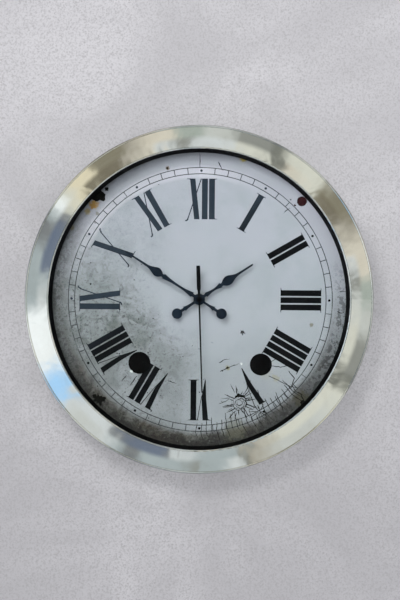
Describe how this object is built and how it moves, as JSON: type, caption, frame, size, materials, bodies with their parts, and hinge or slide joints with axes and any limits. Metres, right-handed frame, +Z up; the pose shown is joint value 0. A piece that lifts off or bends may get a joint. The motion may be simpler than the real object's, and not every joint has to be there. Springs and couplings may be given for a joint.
{
  "type": "wall clock",
  "caption": "Round wall clock with a wide polished bezel, a Roman dial, spade hands and a battery movement that hangs on a wall screw.",
  "frame": {"origin": "on the hands' axis in the plane of the wall, at the case's rear rim", "axes": "+Z up towards twelve, +X to the right of a reader, +Y into the wall; the dial faces -Y"},
  "size_m": [0.3, 0.044, 0.3],
  "materials": {
    "bezel_steel": "polished",
    "case_steel": "satin",
    "glass": "clear",
    "gasket_rubber": "matt",
    "spacer_black": "matt",
    "dial_print": "aged satin print",
    "hardboard": "fibrous",
    "screw_steel": "zinc plated",
    "housing_plastic": "fine texture",
    "brass": "turned",
    "black_brass": "blackened",
    "iron": "bare iron",
    "bobbin_plastic": "moulded",
    "copper": "enamelled copper wire",
    "circuit": "lacquered",
    "resin": "cast resin",
    "crystal_can": "bright can",
    "contact_metal": "nickel plated",
    "gear_plastic": "moulded acetal",
    "ferrite": "sintered",
    "blued_steel": "blued, satin",
    "black_hand": "black lacquer",
    "battery_wrap": "printed film"
  },
  "bodies": {
    "case": {"bezel_ring": "bezel_steel", "case_shell": "case_steel", "glass_lens": "glass", "glass_gasket": "gasket_rubber", "spacer_ring": "spacer_black", "dial_plate": "dial_print", "dial_backing": "hardboard", "case_screws": "screw_steel", "hanger_plate": "screw_steel", "hanger_rivets": "screw_steel", "movement_front_case": "housing_plastic", "centre_bush": "brass", "rubber_washer": "gasket_rubber", "dial_washer": "black_brass", "hex_nut": "black_brass", "movement_rear_case": "housing_plastic", "train_plate": "housing_plastic", "stator": "iron", "coil_core": "iron", "coil_bobbin": "bobbin_plastic", "coil_winding": "copper", "circuit_board": "circuit", "ic_chip": "resin", "quartz_crystal": "crystal_can", "positive_contact": "contact_metal", "negative_contact": "contact_metal", "movement_screws": "screw_steel"},
    "rotor": {"rotor_pinion": "gear_plastic", "rotor_magnet": "ferrite"},
    "fifth_wheel": {"fifth_wheel": "gear_plastic"},
    "seconds": {"second_wheel": "gear_plastic", "second_hand": "black_hand", "second_hand_cap": "black_hand"},
    "third_wheel": {"third_wheel": "gear_plastic"},
    "minutes": {"centre_wheel": "gear_plastic", "clutch_spring": "contact_metal", "minute_pipe": "black_brass", "minute_hand": "blued_steel", "minute_hand_bush": "black_brass"},
    "motion_wheel": {"motion_wheel": "gear_plastic"},
    "hours": {"hour_wheel": "gear_plastic", "hour_hand": "blued_steel", "hour_hand_bush": "black_brass"},
    "setting_knob": {"setting_knob": "housing_plastic"},
    "battery": {"battery_can": "contact_metal", "battery_sleeve": "battery_wrap", "battery_cap": "contact_metal"}
  },
  "joints": [
    {"name": "minute_hand_turn", "type": "hinge", "parent": "case", "child": "minutes", "pos_m": [0, -0.02, 0], "axis": [0, 1, 0], "continuous": true},
    {"name": "hour_hand_turn", "type": "hinge", "parent": "case", "child": "hours", "pos_m": [0, -0.02, 0], "axis": [0, 1, 0], "continuous": true},
    {"name": "motion_wheel_turn", "type": "hinge", "parent": "case", "child": "motion_wheel", "pos_m": [-0.00737, -0.016, -0.00516], "axis": [0, 1, 0], "continuous": true},
    {"name": "setting_knob_turn", "type": "hinge", "parent": "case", "child": "setting_knob", "pos_m": [-0.01374, -0.004, -0.01153], "axis": [0, 1, 0], "continuous": true},
    {"name": "third_wheel_turn", "type": "hinge", "parent": "case", "child": "third_wheel", "pos_m": [0.00846, -0.014, -0.00308], "axis": [0, 1, 0], "continuous": true},
    {"name": "second_hand_turn", "type": "hinge", "parent": "case", "child": "seconds", "pos_m": [0, -0.02, 0], "axis": [0, 1, 0], "continuous": true},
    {"name": "fifth_wheel_turn", "type": "hinge", "parent": "case", "child": "fifth_wheel", "pos_m": [-0.00869, -0.011, 0.00233], "axis": [0, 1, 0], "continuous": true},
    {"name": "rotor_turn", "type": "hinge", "parent": "case", "child": "rotor", "pos_m": [-0.00869, -0.009, 0.00849], "axis": [0, 1, 0], "continuous": true},
    {"name": "battery_slide", "type": "slide", "parent": "case", "child": "battery", "axis": [0, 1, 0], "range_m": [0, 0.03]}
  ],
  "couplings": [
    {"joint": "motion_wheel_turn", "follows": "minute_hand_turn", "ratio": -0.33333},
    {"joint": "hour_hand_turn", "follows": "minute_hand_turn", "ratio": 0.083333},
    {"joint": "setting_knob_turn", "follows": "minute_hand_turn", "ratio": 1},
    {"joint": "third_wheel_turn", "follows": "minute_hand_turn", "ratio": -8},
    {"joint": "second_hand_turn", "follows": "minute_hand_turn", "ratio": 60},
    {"joint": "fifth_wheel_turn", "follows": "minute_hand_turn", "ratio": -300},
    {"joint": "rotor_turn", "follows": "minute_hand_turn", "ratio": 1800}
  ]
}
